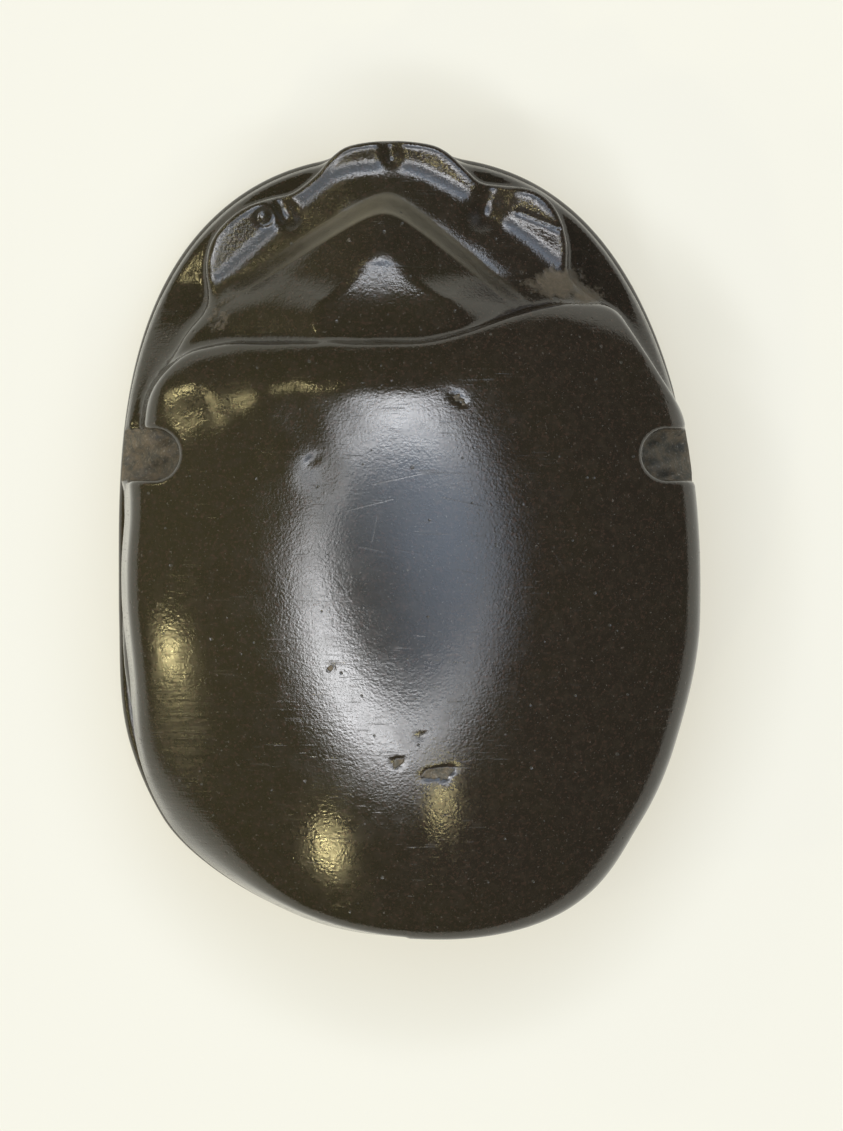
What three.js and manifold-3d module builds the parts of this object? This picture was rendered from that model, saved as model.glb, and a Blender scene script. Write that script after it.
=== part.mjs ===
// Scarab amulet of dark polished stone, carved in one piece and lying on its flat underside.
// Millimetres. +Y runs towards the head, +Z up, and +X is to the right when the head points away.
// The origin is under the middle of the amulet, on its underside.

import * as THREE from 'three';
import { ParametricGeometry } from 'three/addons/geometries/ParametricGeometry.js';
import { mergeVertices } from 'three/addons/utils/BufferGeometryUtils.js';
import Module from 'manifold-3d';

const wasm = await Module();
wasm.setup();

// Driving dimensions
const LENGTH = 25.0;
const WIDTH = 18.3;
const HEIGHT = 10.6;
const BASE_THICKNESS = 1.7;
const BASE_ROUNDING = 0.35;
const GROOVE_DEPTH = 0.25;
const GROOVE_HEIGHT = 0.3;
const BACK_EDGE_HEIGHT = 4.7;
const PLATE_INSET = 0.14;
const FORELEG_INSET = 0.12;
const FORELEG_SLOPE = 0.45;
const LEG_RECESS = 0.95;
const LEG_RELIEF = 0.75;
const LEG_WIDTH = 1.3;
const SIDE_ROUNDING = 0.5;
const FRONT_ROUNDING = 1.7;
const NOTCH_RADIUS = 0.82;
const NOTCH_FLOOR_HEIGHT = 4.3;
const NOTCH_SLOPE = 1.0;
const NOTCH_PLACES = [[-0.865, 0.106], [0.885, 0.106]];

// The carving keeps its proportions as shares of the amulet's own length, width and height
const HALF_WIDTH = WIDTH / 2;
const ALONG = (share) => share * LENGTH;
const ACROSS = (share) => share * HALF_WIDTH;
const UP = (share) => share * HEIGHT;

// The plan: an oval that is widest a little behind the middle, blunter in front than an ellipse
const MIDDLE_Y = ALONG(-0.064);
const FRONT_REACH = ALONG(0.551);
const TAIL_REACH = ALONG(0.436);
const FRONT_POWER = 2.5;
const TAIL_POWER = 2.38;
const HEAD_LEAN = ACROSS(-0.038);
const FLANK_LEAN = ACROSS(-0.024);
const TAIL_LEAN = ACROSS(0.087);

// The domed back reaches past the plan, which cuts it to steep sides
const DOME_X = ACROSS(-0.02);
const DOME_Y = ALONG(-0.029);
const DOME_HALF_WIDTH = ACROSS(1.16);
const DOME_FRONT_REACH = ALONG(0.532);
const DOME_TAIL_REACH = ALONG(0.572);
const DOME_PLAN_POWER = 1.9;
const DOME_POWER = 1.65;
const LEFT_WALL_LEAN = 0.1;
const THORAX_DROP = UP(0.18);
const SHOULDER_Y = ALONG(0.106);
const LEFT_FLANK_INSET = 0.1;
const LEFT_SHOULDER_INSET = 0.45;
const RIGHT_SHOULDER_INSET = 0.75;

// The front edge of the thorax runs straight across on the left and forward on the right
const FRONT_EDGE_Y = ALONG(0.245);
const FRONT_EDGE_STEP = ALONG(0.05);
const FRONT_EDGE_STEP_END = ACROSS(0.57);

// The head's outline seen from above, from the left shoulder round the front to the right shoulder
const HEAD_OUTLINE = [
  [-0.84, 0.200], [-0.765, 0.254], [-0.686, 0.294], [-0.692, 0.344], [-0.661, 0.382], [-0.573, 0.413],
  [-0.470, 0.428], [-0.393, 0.435], [-0.313, 0.458], [-0.262, 0.479], [-0.197, 0.494], [-0.066, 0.500],
  [0.066, 0.496], [0.136, 0.485], [0.202, 0.463], [0.251, 0.448], [0.328, 0.444], [0.421, 0.439],
  [0.483, 0.425], [0.525, 0.400], [0.547, 0.368], [0.552, 0.332], [0.612, 0.308], [0.721, 0.276],
  [0.83, 0.215],
];
const HEAD_AXIS_X = ACROSS(-0.066);
const HEAD_CENTRE_Y = ALONG(0.300);
const HEAD_BACK_Y = ALONG(0.205);
const HEAD_WALL_FOOT = UP(0.21);
const HEAD_RIM_HEIGHT = UP(0.486);
const RIM_RISE = UP(0.034);
const RIM_POWER = 1.8;
const RIM_FALL = 0.012;
const CHANNEL_DEPTH = 0.9;
const SHELF_SLOPE = 0.42;
const SHELF_RISE = 0.5;
const CHEVRON_X = ACROSS(-0.08);
const CHEVRON_Y = ALONG(0.432);
const CHEVRON_SLANT = 0.6;
const CHEVRON_ROUNDING = 1.1;
const RISER_WIDTH = 0.5;
const RISER_HEIGHT = UP(0.075);
const FOREHEAD_SLOPE = 0.72;
const CROWN_HEIGHT = UP(0.745);
const CROWN_Y = ALONG(0.342);
const CROWN_FALL = 0.075;
const NECK_HEIGHT = UP(0.708);
const NECK_FALL = 0.042;
const NECK_SIDE_SLOPE = 1.15;
const NECK_RISE = 0.2;
const NECK_HOLLOW = 0.055;

const smoothstep = THREE.MathUtils.smoothstep;
const lerp = THREE.MathUtils.lerp;

function softMax(a, b, radius) {
  const overlap = Math.max(radius - Math.abs(a - b), 0) / radius;
  return Math.max(a, b) + overlap * overlap * radius / 4;
}

function softMin(a, b, radius) {
  return -softMax(-a, -b, radius);
}

function bell(distance, width) {
  return Math.exp(-((distance / width) ** 2));
}

// Distance along the ray from a share of a superellipse, negative inside
function superDistance(radius, share) {
  return radius * (1 - 1 / Math.max(share, 1e-6));
}

// Signed distance from the plan's edge, negative inside
function planDistance(x, y) {
  const lean = HEAD_LEAN * smoothstep(y, MIDDLE_Y, ALONG(0.4))
    + FLANK_LEAN * smoothstep(-y, ALONG(0.1), ALONG(0.26))
    + TAIL_LEAN * smoothstep(-y, ALONG(0.352), ALONG(0.504));
  const across = Math.abs(x - lean);
  const along = y - MIDDLE_Y;
  const power = along > 0 ? FRONT_POWER : TAIL_POWER;
  const reach = along > 0 ? FRONT_REACH : TAIL_REACH;
  const share = ((across / HALF_WIDTH) ** power + (Math.abs(along) / reach) ** power) ** (1 / power);
  return superDistance(Math.hypot(across, along), share);
}

// The back: a dome with steep sides, with a flat filed on its left flank towards the tail
function backForm(x, y, z) {
  const across = x - DOME_X;
  const along = y - DOME_Y;
  const reach = along > 0 ? DOME_FRONT_REACH : DOME_TAIL_REACH;
  const plan = ((Math.abs(across) / DOME_HALF_WIDTH) ** DOME_PLAN_POWER
    + (Math.abs(along) / reach) ** DOME_PLAN_POWER) ** (1 / DOME_PLAN_POWER);
  const lift = Math.max(z - BACK_EDGE_HEIGHT, 0);
  const share = (plan ** DOME_POWER
    + (lift / (HEIGHT - BACK_EDGE_HEIGHT)) ** DOME_POWER) ** (1 / DOME_POWER);
  const dome = superDistance(Math.hypot(across, along, lift), share);
  const wallLean = lerp(LEFT_WALL_LEAN, 0, smoothstep(x, ACROSS(-0.5), ACROSS(0.2)));
  const side = planDistance(x, y) + wallLean * lift + backInset(x, y);
  const flat = FLAT_NORMAL.x * x + FLAT_NORMAL.y * y + FLAT_NORMAL.z * z - FLAT_OFFSET;
  const front = y - frontEdge(x) - FRONT_ROUNDING / 3;
  return softMax(softMax(softMax(dome, front, FRONT_ROUNDING), side, SIDE_ROUNDING), flat, SIDE_ROUNDING);
}

const FLAT_NORMAL = new THREE.Vector3(-0.65, -0.6, 0.42).normalize();
const FLAT_OFFSET = FLAT_NORMAL.dot(new THREE.Vector3(ACROSS(-0.735), ALONG(-0.345), UP(0.70)));

// The thorax stands in from the plan's edge, all along on the left and at the shoulder on the right. The
// left wing case stands in a little too, so that the legs show below it.
function backInset(x, y) {
  if (x > 0) {
    return RIGHT_SHOULDER_INSET * smoothstep(y, ALONG(0.176), ALONG(0.304));
  }
  return LEFT_FLANK_INSET * smoothstep(-x, ACROSS(0.22), ACROSS(0.66))
    + LEFT_SHOULDER_INSET * smoothstep(y, SHOULDER_Y - 0.3, SHOULDER_Y + 0.4);
}

function frontEdge(x) {
  return FRONT_EDGE_Y + FRONT_EDGE_STEP * smoothstep(x, 0, FRONT_EDGE_STEP_END);
}

// Middle and hind leg of each side, along the recessed wall. The forelegs are the smooth top of the lower
// storey round the head. Each point is an angle round the plan's middle, in degrees from +X, and a share of
// the height, from the joint at the body to the foot.
const LEGS = [
  [[23, 0.385], [6, 0.305], [-6, 0.228], [-21, 0.215]],
  [[1, 0.40], [-19, 0.372], [-42, 0.295], [-58, 0.235], [-76, 0.215]],
];
const LEG_TAPER = 0.6;

// The wall between base and back: recessed behind the legs, and full at the front for the forelegs
function wallInset(y) {
  return lerp(LEG_RECESS, FORELEG_INSET, smoothstep(y, ALONG(0.03), ALONG(0.08)));
}

// Top of the lower storey: hidden under the back, and the smooth backs of the forelegs round the head
function lowerTop(x, y) {
  const rim = lerp(BACK_EDGE_HEIGHT + 0.3, UP(0.215), smoothstep(y, ALONG(0.12), ALONG(0.33)));
  return rim + FORELEG_SLOPE * Math.min(-planDistance(x, y), ALONG(0.1));
}

// The head's outline as a smooth curve, with its two ends run on straight behind the front edge
const outlineCurve = new THREE.SplineCurve(
  HEAD_OUTLINE.map(([across, along]) => new THREE.Vector2(ACROSS(across), ALONG(along))));
const OUTLINE_STEPS = 96;
const outlinePoints = outlineCurve.getPoints(OUTLINE_STEPS);
outlinePoints.unshift(new THREE.Vector2(ACROSS(-0.9), ALONG(-0.1)));
outlinePoints.push(new THREE.Vector2(ACROSS(0.9), ALONG(-0.1)));

// How far a point lies inside the head's outline, negative outside
function headDepth(x, y) {
  let nearest = Infinity;
  let inside = false;
  for (let i = 0; i < outlinePoints.length; i++) {
    const a = outlinePoints[i];
    const b = outlinePoints[(i + 1) % outlinePoints.length];
    const edgeX = b.x - a.x;
    const edgeY = b.y - a.y;
    const offX = x - a.x;
    const offY = y - a.y;
    const t = THREE.MathUtils.clamp((offX * edgeX + offY * edgeY) / (edgeX ** 2 + edgeY ** 2), 0, 1);
    nearest = Math.min(nearest, Math.hypot(offX - edgeX * t, offY - edgeY * t));
    if ((a.y > y) !== (b.y > y) && x < a.x + edgeX * (y - a.y) / edgeY) {
      inside = !inside;
    }
  }
  return inside ? nearest : -nearest;
}

// How far a point lies behind the chevron that runs across the head
function chevronGap(x, y) {
  const off = Math.hypot(x - CHEVRON_X, CHEVRON_ROUNDING) - CHEVRON_ROUNDING;
  return (CHEVRON_Y - CHEVRON_SLANT * off - y) / Math.hypot(1, CHEVRON_SLANT);
}

// The head: a raised rim along the outline, a channel inside it, a step up to the chevron, and a slope up to
// the crown. Behind the crown the neck rises gently to the thorax, and to the sides it falls to the shoulders.
function headHeight(x, y) {
  const depth = headDepth(x, y);
  const off = x - HEAD_AXIS_X;
  const rim = RIM_RISE * Math.max(1 - depth / CHANNEL_DEPTH, 0) ** RIM_POWER;
  const shelf = softMin(SHELF_SLOPE * softMax(depth - CHANNEL_DEPTH, 0, 0.3), SHELF_RISE, 0.3);
  const behind = chevronGap(x, y);
  const riser = RISER_HEIGHT * bell(x - CHEVRON_X, ACROSS(0.39)) * smoothstep(behind, -RISER_WIDTH, 0);
  const forehead = FOREHEAD_SLOPE * Math.max(behind, 0);
  const face = HEAD_RIM_HEIGHT - RIM_FALL * off * off + rim + shelf + riser + forehead;
  const neckSide = HEAD_RIM_HEIGHT - 0.1 + NECK_SIDE_SLOPE * depth;
  const front = lerp(neckSide, face, smoothstep(y, ALONG(0.275), ALONG(0.335)));
  const back = Math.max(CROWN_Y - y, 0);
  const crown = softMax(CROWN_HEIGHT - CROWN_FALL * off * off, NECK_HEIGHT - NECK_FALL * off * off, 0.3)
    + NECK_RISE * back + NECK_HOLLOW * back * back;
  return softMin(front, crown, 0.12);
}

// A closed body whose vertices stand in rings, from the top one down. Each row is a function from an angle
// to a point, and the first and last rows are single points.
function ringBody(rows, segments) {
  const last = rows.length - 1;
  const place = (u, v, target) => {
    const angle = (u === 1 ? 0 : u) * 2 * Math.PI;
    const [x, y, z] = rows[last - Math.round(v * last)](angle);
    target.set(x, y, z);
  };
  return toSolid(new ParametricGeometry(place, segments, last));
}

function toSolid(geometry) {
  geometry.deleteAttribute('normal');
  geometry.deleteAttribute('uv');
  const merged = mergeVertices(geometry, 1e-5);
  const index = merged.index.array;
  const kept = [];
  for (let i = 0; i < index.length; i += 3) {
    const [a, b, c] = [index[i], index[i + 1], index[i + 2]];
    if (a !== b && b !== c && c !== a) {
      kept.push(a, b, c);
    }
  }
  return new wasm.Manifold(new wasm.Mesh({
    numProp: 3,
    vertProperties: new Float32Array(merged.attributes.position.array),
    triVerts: new Uint32Array(kept),
  }));
}

// An outline in plan, made a prism taller than the amulet
function extrude(outline) {
  const settings = { depth: HEIGHT * 2, bevelEnabled: false, steps: 1 };
  return toSolid(new THREE.ExtrudeGeometry(new THREE.Shape(outline), settings));
}

function toGeometry(solid) {
  const mesh = solid.getMesh();
  const geometry = new THREE.BufferGeometry();
  geometry.setAttribute('position', new THREE.BufferAttribute(mesh.vertProperties, 3));
  geometry.setIndex(new THREE.BufferAttribute(mesh.triVerts, 1));
  geometry.computeVertexNormals();
  return geometry;
}

// How far from a start a form's surface lies, along a direction, searched from outside inwards
function reachTo(form, start, direction, limit) {
  const step = 0.1;
  const at = (t) => form(start.x + direction.x * t, start.y + direction.y * t, start.z + direction.z * t);
  let outside = limit;
  while (outside > step && at(outside - step) > 0) {
    outside -= step;
  }
  let inside = Math.max(outside - step, 0);
  for (let i = 0; i < 24; i++) {
    const middle = (outside + inside) / 2;
    if (at(middle) > 0) {
      outside = middle;
    } else {
      inside = middle;
    }
  }
  return inside;
}

// Distance from the plan's middle to the wall, with the wall moved in by an inset
function wallReach(angle, inset) {
  const form = (x, y) => planDistance(x, y) + inset(y);
  const start = new THREE.Vector3(0, MIDDLE_Y, 0);
  return reachTo(form, start, new THREE.Vector3(Math.cos(angle), Math.sin(angle), 0), LENGTH);
}

// The lower storey: base plate, groove line, and the wall with the legs
function makeLowerStorey() {
  const wallFoot = BASE_THICKNESS + GROOVE_HEIGHT / 2;
  const pointAt = (angle, reach, z) => [Math.cos(angle) * reach, MIDDLE_Y + Math.sin(angle) * reach, z];
  const topEdge = (angle) => {
    const reach = wallReach(angle, () => 0.3);
    const [x, y] = pointAt(angle, reach, 0);
    return lowerTop(x, y);
  };
  const top = (share) => (angle) => {
    const reach = wallReach(angle, wallInset) * share;
    const [x, y] = pointAt(angle, reach, 0);
    return [x, y, lowerTop(x, y)];
  };
  const wall = (share, extraInset) => (angle) => {
    const z = lerp(wallFoot, topEdge(angle) - 0.08, share);
    return pointAt(angle, wallReach(angle, wallInset) - extraInset, z);
  };
  const plate = (z, inset) => (angle) => {
    const shown = PLATE_INSET * smoothstep(Math.cos(angle), -0.2, 0.2);
    const plateInset = (y) => inset + lerp(shown, 0, smoothstep(y, ALONG(0.09), ALONG(0.2)));
    return pointAt(angle, wallReach(angle, plateInset), z);
  };
  const rows = [() => [0, MIDDLE_Y, lowerTop(0, MIDDLE_Y)]];
  for (const share of [0.6, 0.8, 0.9, 0.965]) {
    rows.push(top(share));
  }
  rows.push(wall(1, 0.12));
  const WALL_ROWS = 4;
  for (let i = WALL_ROWS; i >= 0; i--) {
    rows.push(wall(i / WALL_ROWS * 0.94, 0));
  }
  rows.push(plate(BASE_THICKNESS, GROOVE_DEPTH));
  rows.push(plate(BASE_THICKNESS - GROOVE_HEIGHT / 2, 0.06));
  rows.push(plate(BASE_THICKNESS - GROOVE_HEIGHT / 2 - BASE_ROUNDING / 2, 0));
  rows.push(plate(BASE_ROUNDING, 0));
  rows.push(plate(BASE_ROUNDING * 0.3, BASE_ROUNDING * 0.3));
  rows.push(plate(0, BASE_ROUNDING));
  rows.push(() => [0, MIDDLE_Y, 0]);
  return ringBody(rows, 100);
}

// One leg: a tapering rounded bar half sunk in the wall, on the right, or on the left when mirrored
function makeLeg(points, mirrored) {
  const path = new THREE.CatmullRomCurve3(points.map(([degrees, share]) => {
    const angle = THREE.MathUtils.degToRad(mirrored ? 180 - degrees : degrees);
    const z = UP(share);
    const reach = wallReach(angle, () => LEG_RECESS) - LEG_WIDTH / 2 + LEG_RELIEF;
    return new THREE.Vector3(Math.cos(angle) * reach, MIDDLE_Y + Math.sin(angle) * reach, z);
  }));
  const LEG_ROWS = 6 * (points.length - 1);
  const rows = [() => path.getPoint(1).toArray()];
  for (let i = LEG_ROWS; i >= 0; i--) {
    const t = i / LEG_ROWS;
    const centre = path.getPoint(t);
    const forward = path.getTangent(t);
    const outward = new THREE.Vector3(centre.x, centre.y - MIDDLE_Y, 0).normalize();
    const upward = new THREE.Vector3().crossVectors(forward, outward).normalize();
    const endRounding = i === 0 || i === LEG_ROWS ? 0.6 : 1;
    const radius = LEG_WIDTH / 2 * lerp(1, LEG_TAPER, t) * endRounding;
    rows.push((angle) => centre.clone()
      .addScaledVector(outward, Math.cos(angle) * radius)
      .addScaledVector(upward, Math.sin(angle) * radius).toArray());
  }
  rows.push(() => path.getPoint(0).toArray());
  return ringBody(rows, 10);
}

// The back before it is cut: rings of rays from a point inside it, closest together near the edge
function makeBack() {
  const start = new THREE.Vector3(DOME_X, DOME_Y, BACK_EDGE_HEIGHT);
  const DOME_ROWS = 18;
  const FOOT_DEPTH = 0.25;
  const rows = [() => [DOME_X, DOME_Y, HEIGHT]];
  for (let i = 1; i <= DOME_ROWS; i++) {
    const tilt = (Math.PI / 2) * (i / DOME_ROWS);
    rows.push((angle) => {
      const direction = new THREE.Vector3(
        Math.cos(angle) * Math.sin(tilt), Math.sin(angle) * Math.sin(tilt), Math.cos(tilt));
      const reach = reachTo(backForm, start, direction, LENGTH);
      return start.clone().addScaledVector(direction, reach).toArray();
    });
  }
  const foot = (angle, drop, inset) => {
    const direction = new THREE.Vector3(Math.cos(angle), Math.sin(angle), 0);
    const reach = reachTo(backForm, start, direction, LENGTH) - inset;
    const x = DOME_X + direction.x * reach;
    const y = DOME_Y + direction.y * reach;
    const thorax = smoothstep(y, SHOULDER_Y - 0.9, SHOULDER_Y + 0.5);
    return [x, y, BACK_EDGE_HEIGHT - drop - thorax * THORAX_DROP];
  };
  rows.push((angle) => foot(angle, FOOT_DEPTH * 0.4, 0.05));
  rows.push((angle) => foot(angle, FOOT_DEPTH, 0.3));
  rows.push(() => [DOME_X, DOME_Y, BACK_EDGE_HEIGHT - FOOT_DEPTH]);
  return ringBody(rows, 88);
}

// Everything behind the thorax's front edge, with its rounded shoulders
function makeFrontEdgeLimit() {
  const outline = [];
  const left = ACROSS(-0.84);
  const right = ACROSS(0.70);
  const EDGE_STEPS = 24;
  for (let i = 0; i <= EDGE_STEPS; i++) {
    const x = lerp(left, right, i / EDGE_STEPS);
    outline.push(new THREE.Vector2(x, frontEdge(x)));
  }
  outline.push(new THREE.Vector2(right + 0.25, frontEdge(right) - 0.3));
  outline.push(new THREE.Vector2(WIDTH, frontEdge(right) - WIDTH));
  outline.push(new THREE.Vector2(WIDTH, -LENGTH));
  outline.push(new THREE.Vector2(-WIDTH, -LENGTH));
  outline.push(new THREE.Vector2(-WIDTH, FRONT_EDGE_Y - 0.4));
  outline.push(new THREE.Vector2(left - 0.2, FRONT_EDGE_Y - 0.2));
  return extrude(outline);
}

// The head: rings that follow its outline, so that rim and channel lie along them
function makeHead() {
  const centre = new THREE.Vector3(HEAD_AXIS_X, HEAD_CENTRE_Y, 0);
  const reachAtDepth = (angle, depth) => {
    const form = (x, y) => Math.max(depth - headDepth(x, y), HEAD_BACK_Y + depth * 0.2 - y);
    return reachTo(form, centre, new THREE.Vector3(Math.cos(angle), Math.sin(angle), 0), LENGTH);
  };
  const ring = (depth, share, height) => (angle) => {
    const reach = reachAtDepth(angle, depth) * share;
    const x = centre.x + Math.cos(angle) * reach;
    const y = centre.y + Math.sin(angle) * reach;
    return [x, y, height(x, y)];
  };
  const INNER_DEPTH = CHANNEL_DEPTH * 2.4;
  const rows = [() => [centre.x, centre.y, headHeight(centre.x, centre.y)]];
  for (const share of [0.22, 0.4, 0.56, 0.7, 0.84]) {
    rows.push(ring(INNER_DEPTH, share, headHeight));
  }
  for (const share of [2.4, 2.1, 1.8, 1.5, 1.25, 1, 0.72, 0.44, 0.2, 0.04]) {
    rows.push(ring(CHANNEL_DEPTH * share, 1, headHeight));
  }
  rows.push(ring(0, 1, (x, y) => headHeight(x, y) - 0.1));
  rows.push(ring(0, 1, () => HEAD_WALL_FOOT));
  rows.push(() => [centre.x, centre.y, HEAD_WALL_FOOT]);
  return ringBody(rows, 84);
}

// The rounded cut in each flank between thorax and wing cases, open to the side. Its floor slopes outwards.
function makeNotch(x, y) {
  const side = Math.sign(x);
  const mouth = WIDTH / 4;
  const reach = (angle) => {
    const outward = Math.cos(angle) * side;
    if (outward <= 0) {
      return NOTCH_RADIUS;
    }
    return Math.min(mouth / outward, NOTCH_RADIUS / Math.abs(Math.sin(angle)));
  };
  const edge = (height) => (angle) => {
    const px = x + Math.cos(angle) * reach(angle);
    return [px, y + Math.sin(angle) * reach(angle), height(px)];
  };
  const floor = (px) => NOTCH_FLOOR_HEIGHT + NOTCH_SLOPE * (HALF_WIDTH - Math.abs(px));
  const roof = () => HEIGHT * 1.1;
  return ringBody([() => [x, y, roof()], edge(roof), edge(floor), () => [x, y, floor(x)]], 32);
}

function makeScarab() {
  const back = makeBack().intersect(makeFrontEdgeLimit());
  let lower = makeLowerStorey();
  for (const points of LEGS) {
    lower = lower.add(makeLeg(points, false)).add(makeLeg(points, true));
  }
  let body = lower.add(back);
  for (const [across, along] of NOTCH_PLACES) {
    body = body.subtract(makeNotch(ACROSS(across), ALONG(along)));
  }
  return toGeometry(body.add(makeHead()));
}

const stone = new THREE.MeshStandardMaterial({ color: 0x332c25, roughness: 0.32, metalness: 0 });
stone.flatShading = true;

const scarab = new THREE.Mesh(makeScarab(), stone);
scarab.name = 'scarab';

const amulet = new THREE.Group();
amulet.add(scarab);

export default amulet;
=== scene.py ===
import math

import bmesh
import bpy
import numpy as np
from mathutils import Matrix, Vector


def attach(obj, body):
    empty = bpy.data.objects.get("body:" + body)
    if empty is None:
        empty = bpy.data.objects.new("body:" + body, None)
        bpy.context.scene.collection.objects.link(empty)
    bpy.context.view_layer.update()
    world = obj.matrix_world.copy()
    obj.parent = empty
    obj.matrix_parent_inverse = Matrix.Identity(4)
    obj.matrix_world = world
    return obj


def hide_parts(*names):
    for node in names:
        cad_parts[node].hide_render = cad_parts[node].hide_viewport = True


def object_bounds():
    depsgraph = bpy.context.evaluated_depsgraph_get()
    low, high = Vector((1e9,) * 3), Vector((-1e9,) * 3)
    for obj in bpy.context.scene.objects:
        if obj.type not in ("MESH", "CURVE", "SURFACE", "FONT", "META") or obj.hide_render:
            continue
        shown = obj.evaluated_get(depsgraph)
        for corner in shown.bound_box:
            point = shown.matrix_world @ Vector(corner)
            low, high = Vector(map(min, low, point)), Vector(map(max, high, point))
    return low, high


bl_info = {
    "name": "Carved stone scarab",
    "version": (1, 0, 0),
    "blender": (4, 5, 0),
    "location": "View3D > Sidebar > Scarab",
    "description": "Carves the fine surface of a stone scarab amulet round its packed solid",
    "category": "Object",
}

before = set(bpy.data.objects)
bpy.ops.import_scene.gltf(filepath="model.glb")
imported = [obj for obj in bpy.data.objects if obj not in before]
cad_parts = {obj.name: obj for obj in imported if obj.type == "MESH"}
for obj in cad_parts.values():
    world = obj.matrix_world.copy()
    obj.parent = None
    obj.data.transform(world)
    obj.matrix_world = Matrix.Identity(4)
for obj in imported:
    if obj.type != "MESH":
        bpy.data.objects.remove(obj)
CAD_LOW, CAD_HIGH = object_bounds()

# The form is worked out in millimetres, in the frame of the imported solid
MM = 0.001
WIDTH, LENGTH, HEIGHT = [(high - low) / MM for low, high in zip(CAD_LOW, CAD_HIGH)]
HALF_WIDTH = WIDTH / 2
NODE = "scarab"
BODY = "root"
FAR = 1e3


def along(share):
    """A place or size along the amulet, as a share of its length."""
    return share * LENGTH


def across(share):
    """A place or size across the amulet, as a share of its half width."""
    return share * HALF_WIDTH


def up(share):
    """A height as a share of the amulet's height."""
    return share * HEIGHT


# Base, wall and legs
BASE_THICKNESS = 1.7
BASE_ROUNDING = 0.35
GROOVE_DEPTH = 0.25
GROOVE_HEIGHT = 0.3
BACK_EDGE_HEIGHT = 4.7
PLATE_INSET = 0.14
THORAX_DROP = 1.9
LEG_RECESS = 0.95
LEG_RELIEF = 0.75
LEG_WIDTH = 1.3
LEG_TAPER = 0.6
LEG_JOIN = 0.18
FORELEG_INSET = 0.12
FORELEG_RUN = (along(0.03), along(0.08))
# The top of the lower storey: over the back's edge, at the head, and its slope inwards
LEDGE_RISE = 0.3
LEDGE_HEAD_HEIGHT = up(0.215)
LEDGE_RUN = (along(0.12), along(0.33))
LEDGE_SLOPE = 0.45
LEDGE_REACH = along(0.1)
PLATE_INSET_SIDES = (-1.5, 1.5)
PLATE_INSET_END = (along(0.09), along(0.2))
WALL_ROUNDING = 0.45
WALL_FOOT_ROUNDING = 0.2
STOREY_JOIN = 0.12
LEGS = (
    ((23, 0.385), (6, 0.305), (-6, 0.228), (-21, 0.215)),
    ((1, 0.40), (-19, 0.372), (-42, 0.295), (-58, 0.235), (-76, 0.215)),
)

# Plan
MIDDLE_Y = along(-0.064)
FRONT_REACH = along(0.551)
TAIL_REACH = along(0.436)
FRONT_POWER = 2.5
TAIL_POWER = 2.38
HEAD_LEAN = across(-0.038)
FLANK_LEAN = across(-0.024)
TAIL_LEAN = across(0.087)
# Where each lean sets in and is full, measured towards the head or the tail
HEAD_LEAN_RUN = (MIDDLE_Y, along(0.4))
FLANK_LEAN_RUN = (along(0.1), along(0.26))
TAIL_LEAN_RUN = (along(0.352), along(0.504))

# Back
DOME_X = across(-0.02)
DOME_Y = along(-0.029)
DOME_HALF_WIDTH = across(1.16)
DOME_FRONT_REACH = along(0.532)
DOME_TAIL_REACH = along(0.572)
DOME_PLAN_POWER = 1.9
DOME_POWER = 1.65
SIDE_ROUNDING = 0.5
LEFT_LEAN = 0.10
RIGHT_LEAN = 0.0
FRONT_ROUNDING = 2.3
FRONT_OVERHANG = 0.57
SHOULDER_Y = along(0.106)
FRONT_EDGE_Y = along(0.245)
FRONT_EDGE_STEP = along(0.05)
FRONT_EDGE_STEP_END = across(0.57)
# How far the flanks stand in from the plan, and where that sets in and is full
LEFT_INSET = 0.1
LEFT_INSET_RUN = (2, 6)
WAIST_INSET = 0.12
WAIST_Y = 0.9
WAIST_LENGTH = 1.2
WING_INSET = 0.24
WING_Y = -4.8
WING_LENGTH = 2.0
LEFT_THORAX_INSET = 0.45
LEFT_THORAX_RUN = (SHOULDER_Y - 0.3, SHOULDER_Y + 0.4)
RIGHT_THORAX_INSET = 0.75
RIGHT_THORAX_RUN = (along(0.176), along(0.304))
LEAN_RUN = (across(-0.5), across(0.2))
# The thorax's front corners, its foot and the roundings where they meet the back
LEFT_CORNER_ROUNDING = 2.6
RIGHT_CORNER_ROUNDING = 0.5
RIGHT_CORNER = (across(0.714), along(0.289))
RIGHT_CORNER_NORMAL = (0.84, 0.54)
CORNER_JOIN = 0.14
THORAX_RUN = (SHOULDER_Y - 0.9, SHOULDER_Y + 0.5)
FOOT_DROP = 0.25
FOOT_ROUNDING = 0.45
NOTCH_RADIUS = 0.82
NOTCH_FLOOR_HEIGHT = 4.3
NOTCH_SLOPE = 1.0
# Uneven floor of the notches: height, and turn across, along and from notch to notch
NOTCH_WAVES = ((0.16, 2.9, 4.1, 0), (0.10, -5.2, 7.3, 1))
NOTCH_FLOOR_WEIGHT = 0.7
NOTCH_FLOOR_ROUNDING = 0.3
NOTCH_RIM_ROUNDING = 0.16
NOTCHES = ((across(-0.865), SHOULDER_Y), (across(0.885), SHOULDER_Y))
FLAT_NORMAL = np.array((-0.65, -0.60, 0.42)) / math.hypot(0.65, 0.60, 0.42)
FLAT_POINT = np.array((across(-0.735), along(-0.345), up(0.70)))
FLAT_ROUNDING = 0.6

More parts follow.
